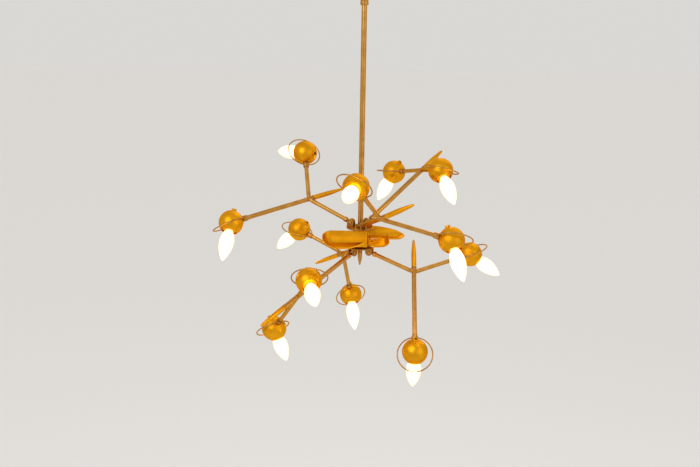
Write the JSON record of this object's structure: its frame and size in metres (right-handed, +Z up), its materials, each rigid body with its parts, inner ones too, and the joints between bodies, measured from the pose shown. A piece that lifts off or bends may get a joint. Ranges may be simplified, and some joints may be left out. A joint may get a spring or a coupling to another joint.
{
  "type": "chandelier",
  "caption": "Branch chandelier of brass tube: forked arms on a two-plate hub carry ball heads in wire rings with candle bulbs, below a drop stem and canopy.",
  "frame": {"origin": "centre of the ceiling plate's top face, where the chandelier meets the ceiling", "axes": "+Z up along the stem's axis; +X to the right and +Y away from the viewer in the picture"},
  "size_m": [0.709, 0.6652, 1.1892],
  "materials": {
    "satin_brass": "satin",
    "golden_brass": "polished",
    "dark_brass": "aged satin",
    "zinc_plated_steel": "zinc plated",
    "frosted_glass": "frosted, lit from within"
  },
  "bodies": {
    "root": {"ceiling_plate": "zinc_plated_steel", "canopy": "satin_brass", "upper_stem": "satin_brass", "stem_coupler": "satin_brass", "lower_stem": "satin_brass", "finial": "satin_brass", "upper_hub": "dark_brass", "lower_hub": "dark_brass", "left_dish": "golden_brass", "front_dish": "golden_brass", "right_dish": "golden_brass", "back_dish": "golden_brass"},
    "arm_1": {"arm_1": "satin_brass", "spike_1": "golden_brass"},
    "arm_2": {"arm_2": "satin_brass", "spike_2": "golden_brass"},
    "arm_3": {"arm_3": "satin_brass", "spike_3": "golden_brass"},
    "arm_4": {"arm_4": "satin_brass", "spike_4": "golden_brass"},
    "arm_5": {"arm_5": "satin_brass", "spike_5": "golden_brass"},
    "arm_6": {"arm_6": "satin_brass", "spike_6": "golden_brass"},
    "head_1a": {"globe_1a": "golden_brass", "ring_1a": "dark_brass", "bulb_1a": "frosted_glass"},
    "head_1b": {"globe_1b": "golden_brass", "ring_1b": "dark_brass", "bulb_1b": "frosted_glass"},
    "head_2a": {"globe_2a": "golden_brass", "ring_2a": "dark_brass", "bulb_2a": "frosted_glass"},
    "head_2b": {"globe_2b": "golden_brass", "ring_2b": "dark_brass", "bulb_2b": "frosted_glass"},
    "head_3a": {"globe_3a": "golden_brass", "ring_3a": "dark_brass", "bulb_3a": "frosted_glass"},
    "head_3b": {"globe_3b": "golden_brass", "ring_3b": "dark_brass", "bulb_3b": "frosted_glass"},
    "head_4a": {"globe_4a": "golden_brass", "ring_4a": "dark_brass", "bulb_4a": "frosted_glass"},
    "head_4b": {"globe_4b": "golden_brass", "ring_4b": "dark_brass", "bulb_4b": "frosted_glass"},
    "head_5a": {"globe_5a": "golden_brass", "ring_5a": "dark_brass", "bulb_5a": "frosted_glass"},
    "head_5b": {"globe_5b": "golden_brass", "ring_5b": "dark_brass", "bulb_5b": "frosted_glass"},
    "head_6a": {"globe_6a": "golden_brass", "ring_6a": "dark_brass", "bulb_6a": "frosted_glass"},
    "head_6b": {"globe_6b": "golden_brass", "ring_6b": "dark_brass", "bulb_6b": "frosted_glass"}
  },
  "joints": [
    {"name": "arm_1_tilt", "type": "hinge", "parent": "root", "child": "arm_1", "pos_m": [-0.02283, 0.00742, -0.8306], "axis": [0.309, 0.9511, 0], "range_deg": [-12, 12]},
    {"name": "arm_2_tilt", "type": "hinge", "parent": "root", "child": "arm_2", "pos_m": [0.01784, 0.01606, -0.8306], "axis": [0.6691, -0.7431, 0], "range_deg": [-12, 12]},
    {"name": "arm_3_tilt", "type": "hinge", "parent": "root", "child": "arm_3", "pos_m": [0.00499, -0.02347, -0.8306], "axis": [-0.9781, -0.2079, 0], "range_deg": [-12, 12]},
    {"name": "arm_4_tilt", "type": "hinge", "parent": "root", "child": "arm_4", "pos_m": [0.02283, -0.00742, -0.9006], "axis": [-0.309, -0.9511, 0], "range_deg": [-12, 12]},
    {"name": "arm_5_tilt", "type": "hinge", "parent": "root", "child": "arm_5", "pos_m": [-0.01784, -0.01606, -0.9006], "axis": [-0.6691, 0.7431, 0], "range_deg": [-12, 12]},
    {"name": "arm_6_tilt", "type": "hinge", "parent": "root", "child": "arm_6", "pos_m": [-0.00499, 0.02347, -0.9006], "axis": [0.9781, 0.2079, 0], "range_deg": [-12, 12]},
    {"name": "head_1a_swivel", "type": "hinge", "parent": "arm_1", "child": "head_1a", "pos_m": [-0.14097, 0.12428, -0.68008], "axis": [-0.1052, 0.6287, 0.7705], "range_deg": [-170, 170]},
    {"name": "head_1b_swivel", "type": "hinge", "parent": "arm_1", "child": "head_1b", "pos_m": [-0.3122, -0.01179, -0.83195], "axis": [-0.9302, -0.2667, -0.2521], "range_deg": [-170, 170]},
    {"name": "head_2a_swivel", "type": "hinge", "parent": "arm_2", "child": "head_2a", "pos_m": [0.0888, 0.23345, -0.74359], "axis": [-0.5634, 0.8046, -0.1874], "range_deg": [-170, 170]},
    {"name": "head_2b_swivel", "type": "hinge", "parent": "arm_2", "child": "head_2b", "pos_m": [0.18855, -0.01202, -0.6971], "axis": [0.2155, -0.9639, 0.1564], "range_deg": [-170, 170]},
    {"name": "head_3a_swivel", "type": "hinge", "parent": "arm_3", "child": "head_3a", "pos_m": [-0.01364, -0.25064, -0.69581], "axis": [-0.4869, -0.4955, 0.7193], "range_deg": [-170, 170]},
    {"name": "head_3b_swivel", "type": "hinge", "parent": "arm_3", "child": "head_3b", "pos_m": [0.2011, -0.19967, -0.82202], "axis": [0.9622, -0.0302, -0.2706], "range_deg": [-170, 170]},
    {"name": "head_4a_swivel", "type": "hinge", "parent": "arm_4", "child": "head_4a", "pos_m": [0.2756, 0.05476, -0.91871], "axis": [0.8246, 0.552, 0.1236], "range_deg": [-170, 170]},
    {"name": "head_4b_swivel", "type": "hinge", "parent": "arm_4", "child": "head_4b", "pos_m": [0.12932, -0.17503, -1.09413], "axis": [-0.0057, -0.6534, -0.757], "range_deg": [-170, 170]},
    {"name": "head_5a_swivel", "type": "hinge", "parent": "arm_5", "child": "head_5a", "pos_m": [-0.11594, -0.20013, -0.9202], "axis": [0.2922, -0.7342, 0.6129], "range_deg": [-170, 170]},
    {"name": "head_5b_swivel", "type": "hinge", "parent": "arm_5", "child": "head_5b", "pos_m": [-0.20736, -0.03318, -1.09128], "axis": [-0.3936, 0.5992, -0.6972], "range_deg": [-170, 170]},
    {"name": "head_6a_swivel", "type": "hinge", "parent": "arm_6", "child": "head_6a", "pos_m": [-0.16188, 0.25275, -0.9079], "axis": [-0.8553, 0.363, 0.3697], "range_deg": [-170, 170]},
    {"name": "head_6b_swivel", "type": "hinge", "parent": "arm_6", "child": "head_6b", "pos_m": [-0.02024, 0.28722, -1.09892], "axis": [0.1379, 0.5147, -0.8462], "range_deg": [-170, 170]}
  ]
}
